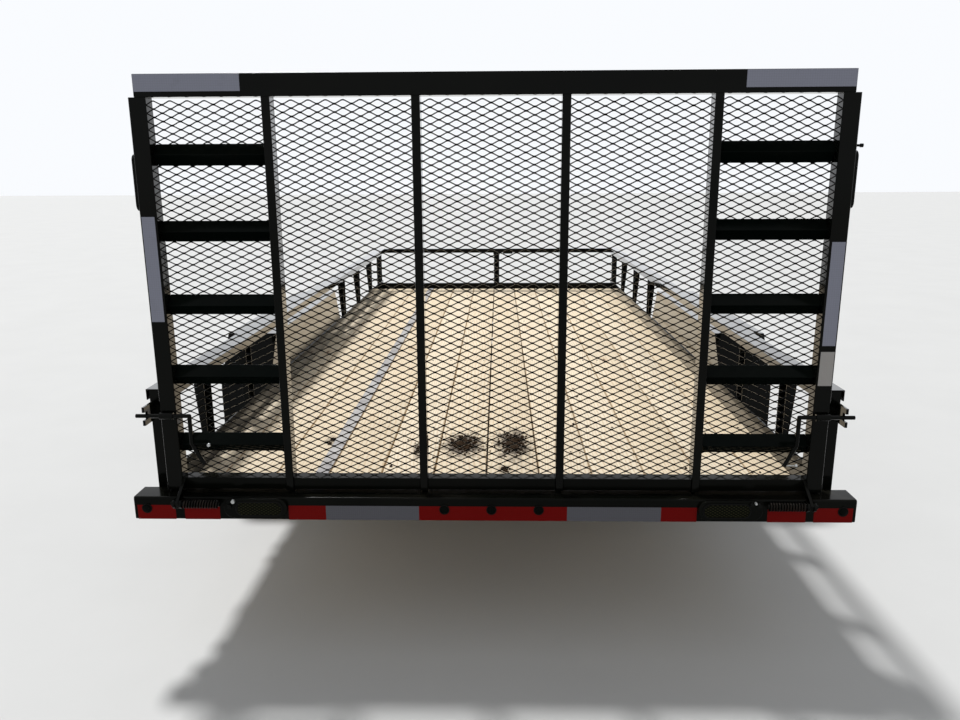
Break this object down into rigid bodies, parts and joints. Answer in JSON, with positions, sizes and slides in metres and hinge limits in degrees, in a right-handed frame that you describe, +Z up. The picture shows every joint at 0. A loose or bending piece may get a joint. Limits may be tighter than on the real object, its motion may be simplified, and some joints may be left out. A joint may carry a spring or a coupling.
{
  "type": "tandem-axle utility trailer",
  "caption": "Open utility trailer with a plank deck, channel side rails, tandem axles, A-frame tongue and a full-width mesh ramp gate at the rear.",
  "frame": {"origin": "on the ground, below the middle of the overall length and width", "axes": "+X right, +Y forward towards the coupler, +Z up"},
  "size_m": [2.59, 6.2517, 1.824],
  "materials": {
    "black_paint": "glossy black enamel",
    "mesh_paint": "glossy black enamel on expanded metal",
    "pine": "pale treated pine, bare",
    "tyre": "black rubber",
    "wheel_paint": "white enamel",
    "zinc": "zinc plated",
    "spring_steel": "black oxide",
    "lamp_lens": "dark smoked lens",
    "marker_lens": "dark red lens"
  },
  "bodies": {
    "chassis": {"side_frame_left": "black_paint", "side_frame_right": "black_paint", "front_sill": "black_paint", "rear_bumper": "black_paint", "cross_members": "black_paint", "deck_boards": "pine", "top_rail_left": "black_paint", "top_rail_right": "black_paint", "top_rail_front": "black_paint", "stakes_left": "black_paint", "stakes_right": "black_paint", "latch_keepers": "black_paint", "tongue_left": "black_paint", "tongue_right": "black_paint", "coupler": "zinc", "coupler_latch": "zinc", "jack_tube": "black_paint", "jack_leg": "zinc", "fender_left": "black_paint", "fender_right": "black_paint", "axle_rear": "black_paint", "axle_front": "black_paint", "springs_left": "spring_steel", "springs_right": "spring_steel", "hangers_left": "black_paint", "hangers_right": "black_paint", "equalizers": "spring_steel", "shackles": "spring_steel", "spring_clamps": "spring_steel", "light_boxes": "black_paint", "tail_lamps": "lamp_lens", "marker_lamps": "marker_lens", "hinge_lugs": "black_paint", "hinge_springs": "spring_steel", "safety_chains": "zinc"},
    "gate": {"gate_post_left": "black_paint", "gate_post_right": "black_paint", "gate_top_bar": "black_paint", "gate_bottom_bar": "black_paint", "gate_uprights": "black_paint", "gate_rungs_left": "black_paint", "gate_rungs_right": "black_paint", "gate_mesh": "mesh_paint", "gate_hinge_lugs": "black_paint", "gate_side_plates": "black_paint", "latch_rods": "black_paint"},
    "wheel_front_left": {"tyre_front_left": "tyre", "wheel_front_left": "wheel_paint"},
    "wheel_front_right": {"tyre_front_right": "tyre", "wheel_front_right": "wheel_paint"},
    "wheel_rear_left": {"tyre_rear_left": "tyre", "wheel_rear_left": "wheel_paint"},
    "wheel_rear_right": {"tyre_rear_right": "tyre", "wheel_rear_right": "wheel_paint"}
  },
  "joints": [
    {"name": "gate_hinge", "type": "hinge", "parent": "chassis", "child": "gate", "pos_m": [0, -3.11112, 0.538], "axis": [1, 0, 0], "range_deg": [0, 117]},
    {"name": "wheel_front_left_spin", "type": "hinge", "parent": "chassis", "child": "wheel_front_left", "pos_m": [-1.1799, -0.53212, 0.344], "axis": [1, 0, 0], "continuous": true},
    {"name": "wheel_front_right_spin", "type": "hinge", "parent": "chassis", "child": "wheel_front_right", "pos_m": [1.1799, -0.53212, 0.344], "axis": [1, 0, 0], "continuous": true},
    {"name": "wheel_rear_left_spin", "type": "hinge", "parent": "chassis", "child": "wheel_rear_left", "pos_m": [-1.1799, -1.39712, 0.344], "axis": [1, 0, 0], "continuous": true},
    {"name": "wheel_rear_right_spin", "type": "hinge", "parent": "chassis", "child": "wheel_rear_right", "pos_m": [1.1799, -1.39712, 0.344], "axis": [1, 0, 0], "continuous": true}
  ]
}
